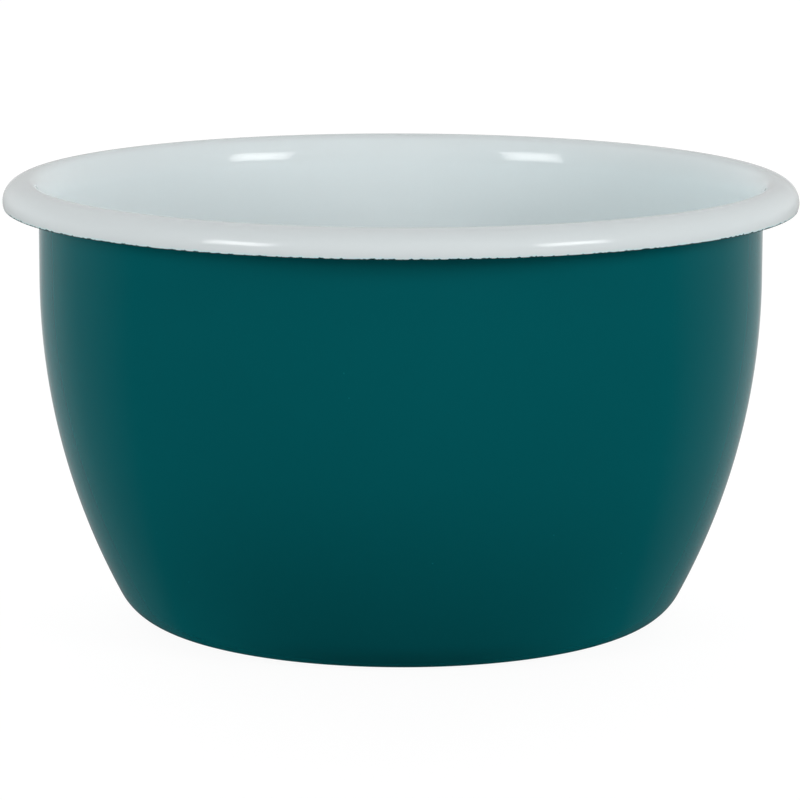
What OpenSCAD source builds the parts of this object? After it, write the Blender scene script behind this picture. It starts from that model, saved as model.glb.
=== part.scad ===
// Enamel basin bowl: a deep pressed steel bowl with a wide rolled rim, enamelled white inside and teal
// outside. Standing upright on its foot ring: +Z is up and the origin is under the middle of the foot.
//
// The bowl's cross-section is one smooth line of straight runs and arcs, drawn along the teal surface
// from the middle of the base to the lip of the rim. The pressed sheet and every coat of enamel are
// bands at their own depth behind that line, so they lie face to face everywhere.

/* [Rim] */
// Diameter over the rolled rim
rim_d = 240; // [170:1:340]
// How far the rim stands out beyond the wall
rim_overhang = 10.8; // [9.8:0.1:14]
// Outer radius of the flat-topped part of the roll, next to the crest
roll_top_r = 7.8; // [6:0.1:9]
// Outer radius of the nose of the roll
roll_nose_r = 6; // [4:0.1:7.2]
// Radius of the lower flare, where the inside wall starts to turn outwards
flare_r = 16.6; // [8:0.1:20]

/* [Bowl] */
// Height from the standing surface to the crest of the rim
bowl_h = 134.5; // [112:0.5:220]
// Height at which the curved wall becomes upright
upright_h = 104.4; // [70:0.1:112]
// Radius of the corner between the foot and the wall
corner_r = 17; // [10:0.1:26]

/* [Foot] */
// Outer diameter of the flat ring that the bowl stands on
foot_d = 141.5; // [110:0.5:165]
// Width of the flat standing ring
foot_ring_w = 4; // [2:0.1:10]
// How far the middle of the base is pressed up, clear of the table
base_lift = 1.6; // [0.6:0.1:3]
// Radius of both bends between the standing ring and the lifted middle
base_bend_r = 4; // [3:0.1:8]

/* [Sheet and enamel] */
// Thickness of the pressed steel sheet
steel_t = 0.7; // [0.5:0.05:1]
// Thickness of the dark ground coat on each side of the sheet
ground_t = 0.18; // [0.12:0.01:0.25]
// Thickness of the white cover coat inside
white_t = 0.22; // [0.15:0.01:0.35]
// Thickness of the teal cover coat outside
teal_t = 0.22; // [0.15:0.01:0.35]
// How far the bead of ground coat stands past the sheet's raw edge
bead_len = 0.35; // [0.2:0.01:0.7]

/* [Hidden] */
$fn = 144;

// Largest distance between a true arc and the short straight runs that stand for it
arc_sag = 0.04;

// Angles along the section, in degrees
// Turn of the lower flare, from upright
flare_turn = 29;
// Turn of the flat-topped part of the roll, from the crest
roll_top_turn = 35;
// Turn of the nose below its widest point, down to the end of the sheet
lip_turn = 15.5;

// Least upright wall between the curved wall and the flare
least_upright = 1;
// Most of the step from the foot out to the wall that the corner between them takes
corner_most_share = 0.9;

// Depth of each face behind the teal surface
depth_teal = teal_t;
depth_steel_out = depth_teal + ground_t;
depth_steel_in = depth_steel_out + steel_t;
depth_white = depth_steel_in + ground_t;
total_t = depth_white + white_t;

// Radii along the teal surface. On the rim the centres lie on the teal side, so the teal side is tighter.
wall_r = rim_d / 2 - rim_overhang;
foot_r = foot_d / 2;
roll_top_in_r = roll_top_r - total_t;
roll_nose_in_r = roll_nose_r - total_t;

// From the crest of the rim out to its widest point, on the white surface
roll_out = roll_top_r * sin(roll_top_turn) + roll_nose_r * (1 - sin(roll_top_turn));
// Radius of the crest from the bowl's axis
crest_at_r = rim_d / 2 - roll_out;

// Two arcs lead from the upright wall out to the crest: the lower flare and, above it, the upper flare.
// On the white surface they share this width and at most this height
flare_w = crest_at_r - (wall_r - total_t);
flare_room = bowl_h - upright_h - least_upright;
// Height that the upper flare takes for each mm of its own width
upper_flare_rise = (1 - sin(flare_turn)) / cos(flare_turn);
// Height that each mm of the lower flare's radius adds, less what it saves above
lower_flare_rise = sin(flare_turn) - (1 - cos(flare_turn)) * upper_flare_rise;
// The lower flare is a fillet: over a bowl with little room for it, it is as large as fits
lower_flare_r = min(flare_r, (flare_room - flare_w * upper_flare_rise) / lower_flare_rise);
lower_flare_in_r = lower_flare_r - total_t;
// The upper flare closes the width that is left
upper_flare_r = (flare_w - lower_flare_r * (1 - cos(flare_turn))) / cos(flare_turn);
upper_flare_in_r = upper_flare_r - total_t;
// Height at which the upright wall ends and the flare starts
flare_h = bowl_h - lower_flare_r * sin(flare_turn) - upper_flare_r * (1 - sin(flare_turn));

// The wall is one arc that touches the corner arc below it and the upright wall above it
wall_step = wall_r - foot_r;
// The corner is a fillet too: over a foot nearly as wide as the wall, it is as large as fits
foot_corner_r = min(corner_r, corner_most_share * wall_step);
wall_rise = upright_h - foot_corner_r;
wall_arc_r = (wall_step * wall_step + wall_rise * wall_rise - foot_corner_r * foot_corner_r)
    / (2 * (wall_step - foot_corner_r));
wall_arc_at = [wall_r - wall_arc_r, upright_h];
// Angle at which the corner hands over to the wall, below the level of its centre
corner_end = -atan2(wall_rise, foot_r - wall_arc_at[0]);

// The lifted base: two equal bends, one down and one back to level
bend_turn = acos(1 - base_lift / (2 * base_bend_r));
bend_run = 2 * base_bend_r * sin(bend_turn);
ring_in_r = foot_r - foot_ring_w;
panel_r = ring_in_r - bend_run;

// Centres of the bends and of the rim's arcs, as [radius from the axis, height]
bend_down_at = [panel_r, base_lift - base_bend_r];
bend_up_at = [ring_in_r, base_bend_r];
corner_at = [foot_r, foot_corner_r];
lower_flare_at = [wall_r + lower_flare_in_r, flare_h];
upper_flare_at = [crest_at_r, bowl_h - upper_flare_r];
roll_top_at = [crest_at_r, bowl_h - roll_top_r];
roll_nose_at = roll_top_at + (roll_top_r - roll_nose_r) * [sin(roll_top_turn), cos(roll_top_turn)];

// Number of straight runs for an arc, the same for every band that follows it
function arc_runs(r, turn) = max(2, ceil(abs(turn) / (2 * acos(1 - arc_sag / (r + total_t)))));

// Points of one arc as [position, direction into the sheet]. side is 1 where the sheet lies on the
// arc's centre side and -1 where it lies outside the arc. first is 1 where the arc before it already
// ends on this arc's first point.
function arc_line(at, r, from, to, side, first) =
    let (runs = arc_runs(r, to - from))
    [for (i = [first:runs])
        let (a = from + (to - from) * i / runs, out = [cos(a), sin(a)])
        [at + r * out, -side * out]];

// The whole section line, from the middle of the base to the end of the sheet
section_line = concat(
    [[[0, base_lift], [0, 1]]],
    arc_line(bend_down_at, base_bend_r, 90, 90 - bend_turn, -1, 0),
    arc_line(bend_up_at, base_bend_r, -90 - bend_turn, -90, 1, 1),
    arc_line(corner_at, foot_corner_r, -90, corner_end, 1, 0),
    arc_line(wall_arc_at, wall_arc_r, corner_end, 0, 1, 1),
    arc_line(lower_flare_at, lower_flare_in_r, 180, 180 - flare_turn, -1, 0),
    arc_line(upper_flare_at, upper_flare_in_r, 180 - flare_turn, 90, -1, 1),
    arc_line(roll_top_at, roll_top_in_r, 90, 90 - roll_top_turn, -1, 1),
    arc_line(roll_nose_at, roll_nose_in_r, 90 - roll_top_turn, -lip_turn, -1, 1)
);

// The line moved into the sheet by a depth
function face_line(depth) = [for (p = section_line) p[0] + depth * p[1]];
function backwards(list) = [for (i = [len(list) - 1:-1:0]) list[i]];

// Outline of the band between two depths
function band(shallow, deep) = concat(face_line(shallow), backwards(face_line(deep)));

// The bead at the end of the sheet, across its whole thickness, with rounded corners
lip_end = section_line[len(section_line) - 1];
lip_across = lip_end[1];
lip_onward = [lip_across[1], -lip_across[0]];
bead_runs = arc_runs(bead_len, 90);
bead_turns = [for (i = [0:bead_runs]) 90 * i / bead_runs];
function bead_point(across, turn) =
    lip_end[0] + across * lip_across + bead_len * sin(turn) * lip_onward;
bead_line = concat(
    [for (a = bead_turns) bead_point(bead_len * (1 - cos(a)), a)],
    [for (a = backwards(bead_turns)) bead_point(total_t - bead_len * (1 - cos(a)), a)]
);

// The pressing: drawn bowl, lifted base and rolled rim in one sheet of steel
module steel_shell() {
    color("slategray")
        rotate_extrude()
            polygon(band(depth_steel_out, depth_steel_in));
}

// Dark ground coat on the inside of the bowl and over the top of the rim
module inside_ground_coat() {
    color("midnightblue")
        rotate_extrude()
            polygon(band(depth_steel_in, depth_white));
}

// Dark ground coat on the outside, with the bead that seals the sheet's raw edge
module outside_ground_coat() {
    color("midnightblue")
        rotate_extrude()
            polygon(concat(face_line(depth_teal), bead_line, backwards(face_line(depth_steel_out))));
}

// White cover coat inside the bowl and over the whole rim
module white_cover_coat() {
    color("gainsboro")
        rotate_extrude()
            polygon(band(depth_white, total_t));
}

// Teal cover coat under the rim, down the wall and over the foot
module teal_cover_coat() {
    color("darkslategray")
        rotate_extrude()
            polygon(band(0, depth_teal));
}

steel_shell();
inside_ground_coat();
outside_ground_coat();
white_cover_coat();
teal_cover_coat();
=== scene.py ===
"""Enamel basin bowl: white inside and over its rolled rim, teal outside, on a plain pale floor.

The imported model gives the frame. Its three enamel coats that show are drawn again here as smooth lathed
shells on the same section line, and get enamel finishes. All lengths are in metres.
"""

import math

import bpy
import numpy as np
from mathutils import Matrix, Vector


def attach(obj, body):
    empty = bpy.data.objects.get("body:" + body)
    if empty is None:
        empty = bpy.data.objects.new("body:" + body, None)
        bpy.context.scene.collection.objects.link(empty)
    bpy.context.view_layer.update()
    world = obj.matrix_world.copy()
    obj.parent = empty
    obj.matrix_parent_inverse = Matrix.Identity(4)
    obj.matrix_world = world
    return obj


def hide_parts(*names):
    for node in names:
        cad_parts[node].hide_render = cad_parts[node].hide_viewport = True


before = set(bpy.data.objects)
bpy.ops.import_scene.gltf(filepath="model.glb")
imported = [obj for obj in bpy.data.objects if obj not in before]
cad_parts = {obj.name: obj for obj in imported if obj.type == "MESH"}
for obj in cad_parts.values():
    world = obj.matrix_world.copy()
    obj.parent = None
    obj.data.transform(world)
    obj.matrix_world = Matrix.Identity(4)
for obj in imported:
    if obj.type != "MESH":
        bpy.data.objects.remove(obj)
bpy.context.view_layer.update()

MM = 0.001

# Sizes of the bowl, as in its solid model
RIM_D = 240 * MM
RIM_OVERHANG = 10.8 * MM
ROLL_TOP_R = 7.8 * MM
ROLL_NOSE_R = 6 * MM
FLARE_R = 16.6 * MM
BOWL_H = 134.5 * MM
UPRIGHT_H = 104.4 * MM
CORNER_R = 17 * MM
FOOT_D = 141.5 * MM
FOOT_RING_W = 4 * MM
BASE_LIFT = 1.6 * MM
BASE_BEND_R = 4 * MM
STEEL_T = 0.7 * MM
GROUND_T = 0.18 * MM
WHITE_T = 0.22 * MM
TEAL_T = 0.22 * MM
BEAD_LEN = 0.35 * MM
FLARE_TURN = math.radians(29)
ROLL_TOP_TURN = math.radians(35)
LIP_TURN = math.radians(15.5)

# Depths of the faces behind the teal surface
DEPTH_STEEL_OUT = TEAL_T + GROUND_T
DEPTH_WHITE = DEPTH_STEEL_OUT + STEEL_T + GROUND_T
TOTAL_T = DEPTH_WHITE + WHITE_T

# How finely the shells are drawn
ROUND_STEPS = 384
ARC_SAG = 0.005 * MM
LEAST_ARC_RUNS = 4
BEAD_RUNS = 8
# Share of the true radius, which keeps the finely drawn shells inside the solid model's box
DRAWN_WIDTH = 0.9998
# Corners that turn by more than this are shaded as edges
SHARP_TURN = math.radians(40)

# The photographed view: the camera looks at the bowl's axis through a long lens, from 10 degrees above
IMAGE_W = 800
VIEW_ELEVATION = math.radians(10.156)
VIEW_DISTANCE = 1.3026
VIEW_TARGET = Vector((-0.00013, 0, 0.06594))
VIEW_ROLL = math.radians(0.138)
FOCAL_PIXELS = 4273.7
SENSOR_W = 36

# Finishes. Colours are linear, and the scale of a noise is the number of its waves in a metre
GLAZE_IOR = 1.5
WAVE_SCALE = 38
WAVE_DEPTH = 0.12 * MM
GLOSS_SCALE = 55

WHITE_TONES = ((0.8, 0.866, 0.881), (0.835, 0.891, 0.901))
WHITE_CLOUD_SCALE = 14
WHITE_ROUGHNESS = (0.02, 0.05)
# The white coat thins out towards its lower edge, from bare ground coat to its full colour
THIN_WHITE = (
    (0.0, (0.001, 0.03, 0.035)),
    (0.12, (0.01, 0.10, 0.11)),
    (0.2, (0.66, 0.95, 0.96)),
    (0.7, (0.80, 0.89, 0.90)),
)
# Height over which it thins out
THIN_BAND = 0.7 * MM
# The edge is ragged: a noise moves it by up to RAGGED_H, most often by about RAGGED_MIDDLE
RAGGED_SCALE = 650
RAGGED_H = 1.5 * MM
RAGGED_MIDDLE = 0.7 * MM
# Share of the coat that is missing where the thin tones begin
THIN_START = 0.05
# The lower edge lies beyond this radius, and the inside of the bowl within it
EDGE_R = RIM_D / 2 - ROLL_NOSE_R / 2
# Painted shade: inside the bowl the white goes a little darker and cooler towards the side that the
# stronger right box lights least, within this radius, past a soft border, and in full from this far out to
# that side
SHADED_SIDE_TONE = (0.695, 0.825, 0.845)
SHADED_SIDE_R = 110 * MM
SHADED_SIDE_FADE = 6 * MM
SHADED_SIDE_ACROSS = 95 * MM

TEAL_TONES = ((0.0005, 0.107, 0.121), (0.0009, 0.115, 0.131))
TEAL_CLOUD_SCALE = 20
TEAL_ROUGHNESS = (0.05, 0.10)
# Painted shade and light on the teal, by height, as (height over the bowl's height, level): darker towards
# the foot, where the wall turns down away from the light, and lightest under the rim, where painted light
# lifts the rim's shadow
TEAL_PAINTED_SHADE_AND_LIGHT = (
    (0.0, 0.8),
    (0.22, 0.85),
    (0.45, 0.94),
    (0.67, 0.95),
    (0.82, 0.97),
    (0.88, 1.0),
    (1.0, 1.0),
)
# Painted light: the paler tone that the teal goes over to where it is seen quite edge-on, for the light
# from the sides and behind on its limbs; by how much, and how suddenly
LIMB_LIGHT_TONE = (0.002, 0.46, 0.50)
LIMB_LIGHT = 0.42
LIMB_LIGHT_POWER = 4.0
# A few pale specks: cells in a metre, radius in cells, and the share of the cells that have no speck
SPECK_TONE = (0.01, 0.17, 0.19)
SPECK_CELLS = 100
SPECK_R = 0.022
SPECK_NONE = 0.2

GROUND_TONES = ((0.001, 0.018, 0.022), (0.002, 0.045, 0.05))
GROUND_MOTTLE_SCALE = 600
GROUND_ROUGHNESS = (0.3, 0.5)
# Burnt at the lip, the ground coat mirrors less than the cover coats
GROUND_SPECULAR = 0.1

STEEL_TONES = ((0.33, 0.34, 0.35), (0.45, 0.46, 0.47))
STEEL_GRAIN_SCALE = 900
STEEL_ROUGHNESS = (0.35, 0.6)
STEEL_IOR = 2.5

# What the glaze mirrors, as (place on the ramp, level). The room is dark on the camera's side and pale
# behind. The floor's level follows the bearing of a place on it, seen from a little in front of the
# bowl's axis: 0 is straight out to either side or nearer the camera, and 1 is straight behind.
FLOOR_MIRRORED = (
    (0.0, 0.006),
    (0.15, 0.046),
    (0.3, 0.081),
    (0.45, 0.118),
    (0.6, 0.178),
    (0.7, 0.226),
    (0.8, 0.278),
    (0.88, 0.34),
    (0.94, 0.5),
    (1.0, 0.75),
)
BEARING_SHIFT = 50 * MM
# The room above the floor in a reflection, from the camera's side to straight behind the bowl
ROOM_MIRRORED = ((0.0, 0.05), (0.5, 0.2), (0.8, 0.45), (0.92, 0.58), (1.0, 0.58))

# Soft light of the room on the bowl, in bands by the sine of their elevation: a low band all round,
LOW_BAND = ((0.0, 1.0), (0.28, 1.0), (0.32, 0.0), (1.0, 0.0))
LOW_LEVEL = 2.4
# a pale wall behind, which is faint as far up as the low band reaches,
WALL_BAND = ((0.0, 0.2), (0.28, 0.2), (0.32, 1.0), (0.66, 1.0), (0.74, 0.0), (1.0, 0.0))
WALL_SIDES = ((0.0, 0.0), (0.79, 0.0), (0.91, 1.0), (1.0, 1.0))
WALL_LEVEL = 3.0
# and a dim ceiling
CEILING_BAND = ((0.0, 0.0), (0.66, 0.0), (0.74, 1.0), (1.0, 1.0))
CEILING_LEVEL = 0.38
# Grey of the walls that send all this light
ROOM_GREY = 0.8

FLOOR_SIZE = 12.0
# The floor to the camera: most of its white is its own, and the rest takes the bowl's shadow
FLOOR_GLOW = 0.93
FLOOR_SHADE = 0.14
# The floor to the bowl: grey for the light that it passes on, and light that it throws up of its own, from
# either side but not from straight before or behind, and evenly under the bowl
FLOOR_GREY = 0.28
BESIDE_LEVEL = 0.32
BESIDE_POWER = 2.0
UNDER_LEVEL = 0.42
# Width over which the floor round the foot goes from lying under the bowl to lying in the open
OPEN_FADE = 16 * MM

# Soft boxes that face the rim, as (name, azimuth, elevation, width, height, power, shine), in degrees,
# metres and watts. Azimuth 0 is the camera's side, positive to its right. The glaze mirrors a box shine
# times as bright as it lights.
SOFT_BOXES = (
    ("left_box", -46.8, 19.1, 1.22, 1.15, 21.3, 1.4),
    ("right_box", 50.2, 19.4, 1.30, 1.00, 28.7, 1.0),
)
BOX_DISTANCE = 3.4
# The mirrored box is brighter towards the middle. It is built up from lamps that stand one before the
# other: (part, share of the box's width, share of its brightness)
BOX_GLOW = (("_edge", 1.0, 0.48), ("_middle", 0.78, 0.24), ("_core", 0.5, 0.24))
BOX_STEP = 0.02

# Least distance that a bearing is divided by
TINY = 0.0001


def arc_line(at, radius, start, end, side, first):
    """Points of one arc of the section as (position, direction into the sheet)."""
    step = 2 * math.acos(1 - ARC_SAG / (radius + TOTAL_T))
    runs = max(LEAST_ARC_RUNS, math.ceil(abs(end - start) / step))
    points = []
    for i in range(first, runs + 1):
        a = start + (end - start) * i / runs
        out = Vector((math.cos(a), math.sin(a)))
        points.append((Vector(at) + radius * out, -side * out))
    return points


def section():
    """The section line of the bowl along its teal surface, from the middle of the base to the lip."""
    quarter = math.pi / 2
    wall_r = RIM_D / 2 - RIM_OVERHANG
    foot_r = FOOT_D / 2
    roll_out = ROLL_TOP_R * math.sin(ROLL_TOP_TURN) + ROLL_NOSE_R * (1 - math.sin(ROLL_TOP_TURN))
    crest_r = RIM_D / 2 - roll_out
    gap = crest_r - (wall_r - TOTAL_T) - FLARE_R * (1 - math.cos(FLARE_TURN))
    upper_r = gap / math.cos(FLARE_TURN)
    flare_h = BOWL_H - FLARE_R * math.sin(FLARE_TURN) - upper_r * (1 - math.sin(FLARE_TURN))
    step = wall_r - foot_r
    rise = UPRIGHT_H - CORNER_R
    wall_arc_r = (step**2 + rise**2 - CORNER_R**2) / (2 * (step - CORNER_R))
    corner_end = -math.atan2(rise, foot_r - wall_r + wall_arc_r)
    bend_turn = math.acos(1 - BASE_LIFT / (2 * BASE_BEND_R))
    ring_in_r = foot_r - FOOT_RING_W
    panel_r = ring_in_r - 2 * BASE_BEND_R * math.sin(bend_turn)
    nose_shift = ROLL_TOP_R - ROLL_NOSE_R
    nose_at = (
        crest_r + nose_shift * math.sin(ROLL_TOP_TURN),
        BOWL_H - ROLL_TOP_R + nose_shift * math.cos(ROLL_TOP_TURN),
    )
    line = [(Vector((0, BASE_LIFT)), Vector((0, 1)))]
    line += arc_line((panel_r, BASE_LIFT - BASE_BEND_R), BASE_BEND_R, quarter, quarter - bend_turn, -1, 0)
    line += arc_line((ring_in_r, BASE_BEND_R), BASE_BEND_R, -quarter - bend_turn, -quarter, 1, 1)
    line += arc_line((foot_r, CORNER_R), CORNER_R, -quarter, corner_end, 1, 0)
    line += arc_line((wall_r - wall_arc_r, UPRIGHT_H), wall_arc_r, corner_end, 0, 1, 1)
    flare_in_r = FLARE_R - TOTAL_T
    flare_end = math.pi - FLARE_TURN
    line += arc_line((wall_r + flare_in_r, flare_h), flare_in_r, math.pi, flare_end, -1, 0)
    line += arc_line((crest_r, BOWL_H - upper_r), upper_r - TOTAL_T, flare_end, quarter, -1, 1)
    nose_start = quarter - ROLL_TOP_TURN
    line += arc_line((crest_r, BOWL_H - ROLL_TOP_R), ROLL_TOP_R - TOTAL_T, quarter, nose_start, -1, 1)
    line += arc_line(nose_at, ROLL_NOSE_R - TOTAL_T, nose_start, -LIP_TURN, -1, 1)
    return line


SECTION = section()


def face_line(depth):
    """The section line moved into the sheet by a depth."""
    return [at + depth * into for at, into in SECTION]


def band(shallow, deep):
    """Outline of the layer between two depths."""
    return face_line(shallow) + face_line(deep)[::-1]


def bead_line():
    """Rounded end of the sheet, from the teal side round to the white side."""
    at, across = SECTION[-1]
    onward = Vector((across.y, -across.x))
    turns = [math.pi / 2 * i / BEAD_RUNS for i in range(BEAD_RUNS + 1)]
    rounded = [(BEAD_LEN * (1 - math.cos(a)), BEAD_LEN * math.sin(a)) for a in turns]
    line = [at + u * across + v * onward for u, v in rounded]
    line += [at + (TOTAL_T - u) * across + v * onward for u, v in reversed(rounded)]
    return line


def lathe(name, outline):
    """A closed shell of revolution. The outline starts and ends on the axis."""
    rings = outline[1:-1]
    count = len(rings)
    angles = np.arange(ROUND_STEPS) * 2 * math.pi / ROUND_STEPS
    radius = np.array([p.x for p in rings]) * DRAWN_WIDTH
    height = np.array([p.y for p in rings])
    x = np.outer(radius, np.sin(angles))
    y = np.outer(radius, -np.cos(angles))
    z = np.repeat(height[:, None], ROUND_STEPS, axis=1)
    points = np.stack([x, y, z], axis=-1).reshape(-1, 3).tolist()
    first_pole, last_pole = len(points), len(points) + 1
    points += [(0, 0, outline[0].y), (0, 0, outline[-1].y)]
    faces = []
    for k in range(ROUND_STEPS):
        n = (k + 1) % ROUND_STEPS
        faces.append((first_pole, n, k))
        for i in range(count - 1):
            a = i * ROUND_STEPS
            b = a + ROUND_STEPS
            faces.append((a + k, a + n, b + n, b + k))
        a = (count - 1) * ROUND_STEPS
        faces.append((last_pole, a + k, a + n))
    mesh = bpy.data.meshes.new(name)
    mesh.from_pydata(points, [], faces)
    mesh.shade_smooth()
    mesh.set_sharp_from_angle(angle=SHARP_TURN)
    piece = bpy.data.objects.new(name, mesh)
    bpy.context.scene.collection.objects.link(piece)
    return piece


class Nodes:
    """A few short calls for wiring the nodes of a material or of the world."""

    def __init__(self, owner):
        owner.use_nodes = True
        self.tree = owner.node_tree
        self.tree.nodes.clear()

    def add(self, kind, **settings):
        node = self.tree.nodes.new(kind)
        for key, value in settings.items():
            setattr(node, key, value)
        return node

    def link(self, source, target):
        self.tree.links.new(source, target)

    def feed(self, socket, value):
        """Sets a socket to a number or a colour, or links it to another node."""
        if isinstance(value, tuple):
            socket.default_value = (*value, 1)
        elif isinstance(value, (int, float)):
            socket.default_value = value
        else:
            self.link(value, socket)

    def math(self, operation, *values, clamp=False):
        node = self.add("ShaderNodeMath", operation=operation, use_clamp=clamp)
        for socket, value in zip(node.inputs, values):
            self.feed(socket, value)
        return node.outputs[0]

    def between(self, value, low, high):
        """A number that goes from low to high as the value goes from 0 to 1."""
        return self.math("MULTIPLY_ADD", value, high - low, low)

    def xyz(self, vector):
        node = self.add("ShaderNodeSeparateXYZ")
        self.link(vector, node.inputs["Vector"])
        return node.outputs["X"], node.outputs["Y"], node.outputs["Z"]

    def from_axis(self, x, y):
        """Distance of a place from the bowl's axis."""
        return self.math("SQRT", self.math("MULTIPLY_ADD", x, x, self.math("MULTIPLY", y, y)))

    def behind(self, x, y):
        """How far a place or direction lies behind the bowl's axis, from -1 to 1."""
        return self.math("DIVIDE", y, self.math("MAXIMUM", self.from_axis(x, y), TINY))

    def noise(self, vector, scale, detail, roughness=0.5):
        node = self.add("ShaderNodeTexNoise")
        node.inputs["Scale"].default_value = scale
        node.inputs["Detail"].default_value = detail
        node.inputs["Roughness"].default_value = roughness
        self.link(vector, node.inputs["Vector"])
        return node.outputs["Fac"]

    def ramp(self, value, stops):
        """A colour read from stops of (place, colour) by a value from 0 to 1."""
        node = self.add("ShaderNodeValToRGB")
        elements = node.color_ramp.elements
        elements[0].position, elements[0].color = stops[0][0], (*stops[0][1], 1)
        elements[1].position, elements[1].color = stops[-1][0], (*stops[-1][1], 1)
        for position, color in stops[1:-1]:
            elements.new(position).color = (*color, 1)
        self.link(value, node.inputs["Fac"])
        return node.outputs["Color"]

    def grey_ramp(self, value, stops):
        """A grey read from stops of (place, level)."""
        return self.ramp(value, [(at, (level, level, level)) for at, level in stops])

    def level_ramp(self, value, stops):
        """A plain number read from stops of (place, level)."""
        parts = self.add("ShaderNodeSeparateColor")
        self.link(self.grey_ramp(value, stops), parts.inputs["Color"])
        return parts.outputs["Red"]

    def mix(self, factor, a, b):
        node = self.add("ShaderNodeMix", data_type="RGBA")
        for name, value in (("Factor", factor), ("A", a), ("B", b)):
            self.feed(node.inputs[name], value)
        return node.outputs["Result"]

    def scaled(self, color, level):
        node = self.add("ShaderNodeVectorMath", operation="SCALE")
        self.link(color, node.inputs[0])
        self.link(level, node.inputs["Scale"])
        return node.outputs[0]

    def bump(self, height, distance):
        node = self.add("ShaderNodeBump")
        node.inputs["Strength"].default_value = 1.0
        node.inputs["Distance"].default_value = distance
        self.link(height, node.inputs["Height"])
        return node.outputs["Normal"]

    def shader(self, kind, **inputs):
        node = self.add(kind)
        for name, value in inputs.items():
            self.feed(node.inputs[name], value)
        return node.outputs[0]

    def both(self, a, b):
        """Two shaders added up."""
        node = self.add("ShaderNodeAddShader")
        self.link(a, node.inputs[0])
        self.link(b, node.inputs[1])
        return node.outputs[0]

    def either(self, switch, off, on):
        """One shader where the switch is 0 and another where it is 1."""
        node = self.add("ShaderNodeMixShader")
        for socket, source in zip(node.inputs, (switch, off, on)):
            self.link(source, socket)
        return node.outputs[0]

    def by_ray(self, light, mirrored, seen):
        """Shaders for the light that falls on the bowl, for what it mirrors and for the camera."""
        path = self.add("ShaderNodeLightPath")
        other = self.either(path.outputs["Is Glossy Ray"], light, mirrored)
        return self.either(path.outputs["Is Camera Ray"], other, seen)


def new_material(name, ior):
    """Starts a material and returns it with its node helper, shader and object coordinates."""
    material = bpy.data.materials.new(name)
    nodes = Nodes(material)
    shader = nodes.add("ShaderNodeBsdfPrincipled")
    shader.inputs["IOR"].default_value = ior
    output = nodes.add("ShaderNodeOutputMaterial")
    nodes.link(shader.outputs["BSDF"], output.inputs["Surface"])
    coordinates = nodes.add("ShaderNodeTexCoord").outputs["Object"]
    return material, nodes, shader, coordinates


def fired_surface(nodes, shader, coordinates, roughness):
    """Long soft waves of fired enamel, with a slightly uneven gloss."""
    waves = nodes.noise(coordinates, WAVE_SCALE, detail=1.0)
    nodes.link(nodes.bump(waves, WAVE_DEPTH), shader.inputs["Normal"])
    gloss = nodes.noise(coordinates, GLOSS_SCALE, detail=3.0)
    nodes.link(nodes.between(gloss, *roughness), shader.inputs["Roughness"])


def white_enamel():
    material, nodes, shader, coordinates = new_material("white_enamel", GLAZE_IOR)
    clouds = nodes.noise(coordinates, WHITE_CLOUD_SCALE, detail=3.0)
    tone = nodes.mix(clouds, *WHITE_TONES)
    x, y, z = nodes.xyz(coordinates)
    radius = nodes.from_axis(x, y)
    # Painted shade: darker and cooler towards one side of the inside
    inside = nodes.math("DIVIDE", nodes.math("SUBTRACT", SHADED_SIDE_R, radius), SHADED_SIDE_FADE, clamp=True)
    side = nodes.math("DIVIDE", x, SHADED_SIDE_ACROSS, clamp=True)
    tone = nodes.mix(nodes.math("MULTIPLY", inside, side), tone, SHADED_SIDE_TONE)
    # Thinner towards the lip, on the outside of the rim
    lip = SECTION[-1][0] + TOTAL_T * SECTION[-1][1]
    ragged = nodes.noise(coordinates, RAGGED_SCALE, detail=3.0, roughness=0.6)
    above_lip = nodes.math("SUBTRACT", z, lip.y + RAGGED_MIDDLE)
    above_edge = nodes.math("MULTIPLY_ADD", ragged, RAGGED_H, above_lip)
    cover = nodes.math("DIVIDE", above_edge, THIN_BAND, clamp=True)
    outside = nodes.math("GREATER_THAN", radius, EDGE_R)
    missing = nodes.math("MULTIPLY", outside, nodes.math("SUBTRACT", 1.0, cover))
    thin = nodes.math("GREATER_THAN", missing, THIN_START)
    nodes.link(nodes.mix(thin, tone, nodes.ramp(cover, THIN_WHITE)), shader.inputs["Base Color"])
    fired_surface(nodes, shader, coordinates, WHITE_ROUGHNESS)
    return material


def specks(nodes, coordinates):
    """1 in the specks and 0 elsewhere."""
    cells = nodes.add("ShaderNodeTexVoronoi", feature="F1")
    cells.inputs["Scale"].default_value = SPECK_CELLS
    nodes.link(coordinates, cells.inputs["Vector"])
    lot = nodes.add("ShaderNodeSeparateColor")
    nodes.link(cells.outputs["Color"], lot.inputs["Color"])
    small = nodes.math("LESS_THAN", cells.outputs["Distance"], SPECK_R)
    chosen = nodes.math("GREATER_THAN", lot.outputs["Red"], SPECK_NONE)
    return nodes.math("MULTIPLY", small, chosen)


def teal_enamel():
    material, nodes, shader, coordinates = new_material("teal_enamel", GLAZE_IOR)
    clouds = nodes.noise(coordinates, TEAL_CLOUD_SCALE, detail=4.0)
    height = nodes.xyz(coordinates)[2]
    # Painted shade towards the foot, and painted light under the rim
    depth = nodes.level_ramp(nodes.math("DIVIDE", height, BOWL_H), TEAL_PAINTED_SHADE_AND_LIGHT)
    tone = nodes.scaled(nodes.mix(clouds, *TEAL_TONES), depth)
    # Painted light on the limbs, where the wall is seen edge-on
    facing = nodes.add("ShaderNodeLayerWeight")
    facing.inputs["Blend"].default_value = 0.5
    painted_limb_light = nodes.math("POWER", facing.outputs["Facing"], LIMB_LIGHT_POWER)
    tone = nodes.mix(nodes.math("MULTIPLY", painted_limb_light, LIMB_LIGHT), tone, LIMB_LIGHT_TONE)
    nodes.link(nodes.mix(specks(nodes, coordinates), tone, SPECK_TONE), shader.inputs["Base Color"])
    fired_surface(nodes, shader, coordinates, TEAL_ROUGHNESS)
    return material


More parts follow.
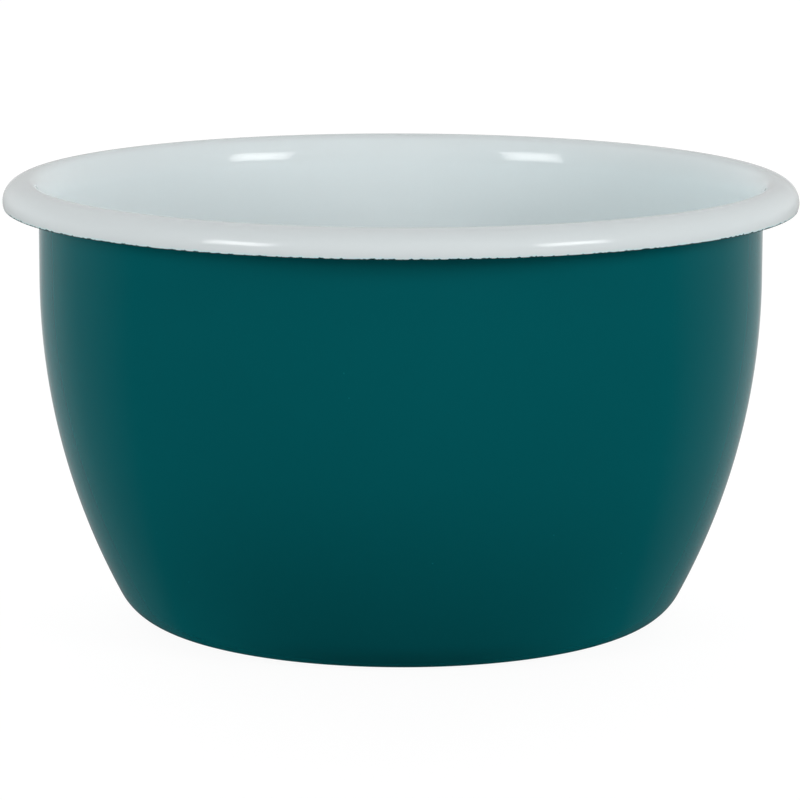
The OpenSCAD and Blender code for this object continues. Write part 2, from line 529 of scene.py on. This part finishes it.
def ground_enamel():
    material, nodes, shader, coordinates = new_material("ground_enamel", GLAZE_IOR)
    mottle = nodes.noise(coordinates, GROUND_MOTTLE_SCALE, detail=3.0)
    nodes.link(nodes.mix(mottle, *GROUND_TONES), shader.inputs["Base Color"])
    shader.inputs["Specular IOR Level"].default_value = GROUND_SPECULAR
    fired_surface(nodes, shader, coordinates, GROUND_ROUGHNESS)
    return material


def bare_steel():
    material, nodes, shader, coordinates = new_material("bare_steel", STEEL_IOR)
    shader.inputs["Metallic"].default_value = 1.0
    grain = nodes.noise(coordinates, STEEL_GRAIN_SCALE, detail=4.0)
    nodes.link(nodes.mix(grain, *STEEL_TONES), shader.inputs["Base Color"])
    nodes.link(nodes.between(grain, *STEEL_ROUGHNESS), shader.inputs["Roughness"])
    return material


def make_bowl():
    white, teal, ground, steel = white_enamel(), teal_enamel(), ground_enamel(), bare_steel()
    shells = (
        ("white_cover_coat", "white_enamel", band(DEPTH_WHITE, TOTAL_T), white),
        ("teal_cover_coat", "teal_enamel", band(0, TEAL_T), teal),
        (
            "outside_ground_coat",
            "ground_enamel",
            face_line(TEAL_T) + bead_line() + face_line(DEPTH_STEEL_OUT)[::-1],
            ground,
        ),
    )
    for node, slot, outline, material in shells:
        piece = lathe(node + "_smooth", outline)
        piece.data.materials.append(material)
        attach(piece, "root")
        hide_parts(node)
    for node, material in (("steel_shell", steel), ("inside_ground_coat", ground)):
        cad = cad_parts[node]
        cad.data.materials.clear()
        cad.data.materials.append(material)


def floor_finish():
    material = bpy.data.materials.new("floor")
    nodes = Nodes(material)
    x, y, _ = nodes.xyz(nodes.add("ShaderNodeTexCoord").outputs["Object"])
    behind = nodes.behind(x, nodes.math("ADD", y, BEARING_SHIFT))
    beyond_foot = nodes.math("SUBTRACT", nodes.from_axis(x, y), FOOT_D / 2)
    in_open = nodes.math("DIVIDE", beyond_foot, OPEN_FADE, clamp=True)
    # In the glaze, the floor is pale behind the bowl and black under it
    mirrored_tone = nodes.scaled(nodes.grey_ramp(behind, FLOOR_MIRRORED), in_open)
    mirrored = nodes.shader("ShaderNodeEmission", Color=mirrored_tone)
    # It throws light up under the rim from either side, and an even light on the base
    sideways = nodes.math("SUBTRACT", 1.0, nodes.math("MULTIPLY", behind, behind))
    beside = nodes.math("MULTIPLY", nodes.math("POWER", sideways, BESIDE_POWER), BESIDE_LEVEL)
    more_than_under = nodes.math("SUBTRACT", beside, UNDER_LEVEL)
    level = nodes.math("MULTIPLY_ADD", in_open, more_than_under, UNDER_LEVEL)
    thrown = nodes.shader("ShaderNodeEmission", Strength=level)
    passed_on = nodes.shader("ShaderNodeBsdfDiffuse", Color=(FLOOR_GREY,) * 3)
    shaded = nodes.shader("ShaderNodeBsdfDiffuse", Color=(FLOOR_SHADE,) * 3)
    glow = nodes.shader("ShaderNodeEmission", Strength=FLOOR_GLOW)
    top = nodes.by_ray(nodes.both(passed_on, thrown), mirrored, nodes.both(shaded, glow))
    # From below, it lets the view through to the bowl's foot
    below = nodes.add("ShaderNodeNewGeometry").outputs["Backfacing"]
    surface = nodes.either(below, top, nodes.shader("ShaderNodeBsdfTransparent"))
    nodes.link(surface, nodes.add("ShaderNodeOutputMaterial").inputs["Surface"])
    return material


def make_floor():
    """A pale floor, white to the camera but for the bowl's shadow."""
    half = FLOOR_SIZE / 2
    corners = [(-half, -half, 0), (half, -half, 0), (half, half, 0), (-half, half, 0)]
    mesh = bpy.data.meshes.new("floor")
    mesh.from_pydata(corners, [], [(0, 1, 2, 3)])
    mesh.materials.append(floor_finish())
    floor = bpy.data.objects.new("floor", mesh)
    bpy.context.scene.collection.objects.link(floor)


def make_world():
    world = bpy.data.worlds.new("studio")
    bpy.context.scene.world = world
    nodes = Nodes(world)
    x, y, z = nodes.xyz(nodes.add("ShaderNodeTexCoord").outputs["Generated"])
    # 0 on the camera's side, and 1 straight behind the bowl
    bearing = nodes.between(nodes.behind(x, y), 0.5, 1.0)
    wall = nodes.math("MULTIPLY", nodes.level_ramp(z, WALL_BAND), nodes.level_ramp(bearing, WALL_SIDES))
    ceiling = nodes.math("MULTIPLY", nodes.level_ramp(z, CEILING_BAND), CEILING_LEVEL)
    low = nodes.math("MULTIPLY_ADD", nodes.level_ramp(z, LOW_BAND), LOW_LEVEL, ceiling)
    level = nodes.math("MULTIPLY_ADD", wall, WALL_LEVEL, low)
    ambient = nodes.shader("ShaderNodeBackground", Color=(ROOM_GREY,) * 3, Strength=level)
    mirrored = nodes.shader("ShaderNodeBackground", Color=nodes.grey_ramp(bearing, ROOM_MIRRORED))
    seen = nodes.shader("ShaderNodeBackground", Color=(1, 1, 1))
    output = nodes.add("ShaderNodeOutputWorld")
    nodes.link(nodes.by_ray(ambient, mirrored, seen), output.inputs["Surface"])


def soft_box(name, azimuth, elevation, width, height, power, shine):
    """One lamp for the enamel's own colour, and in front of it the lamps that show in its glaze alone."""
    a, e = math.radians(azimuth), math.radians(elevation)
    away = Vector((math.sin(a) * math.cos(e), -math.cos(a) * math.cos(e), math.sin(e)))
    parts = [("", 1.0, 1.0)]
    for part, scale, share in BOX_GLOW:
        parts.append((part, scale, shine * share))
    for i, (part, scale, brightness) in enumerate(parts):
        lamp = bpy.data.lights.new(name + part, "AREA")
        lamp.shape = "RECTANGLE"
        lamp.size, lamp.size_y = width * scale, height * scale
        lamp.energy = power * brightness * scale**2
        box = bpy.data.objects.new(name + part, lamp)
        box.location = Vector((0, 0, BOWL_H)) + away * (BOX_DISTANCE - BOX_STEP * i)
        box.rotation_euler = away.to_track_quat("Z", "Y").to_euler()
        box.visible_camera = False
        box.visible_diffuse = i == 0
        box.visible_glossy = i > 0
        bpy.context.scene.collection.objects.link(box)


def make_camera():
    data = bpy.data.cameras.new("camera")
    data.sensor_width = SENSOR_W
    data.lens = FOCAL_PIXELS * SENSOR_W / IMAGE_W
    camera = bpy.data.objects.new("camera", data)
    back = Vector((0, -math.cos(VIEW_ELEVATION), math.sin(VIEW_ELEVATION)))
    turn = back.to_track_quat("Z", "Y").to_matrix() @ Matrix.Rotation(VIEW_ROLL, 3, "Z")
    camera.matrix_world = Matrix.Translation(VIEW_TARGET + back * VIEW_DISTANCE) @ turn.to_4x4()
    bpy.context.scene.collection.objects.link(camera)
    bpy.context.scene.camera = camera


make_camera()
make_bowl()
make_floor()
make_world()
for box in SOFT_BOXES:
    soft_box(*box)
bpy.context.scene.view_settings.view_transform = "Standard"

bpy.context.view_layer.update()
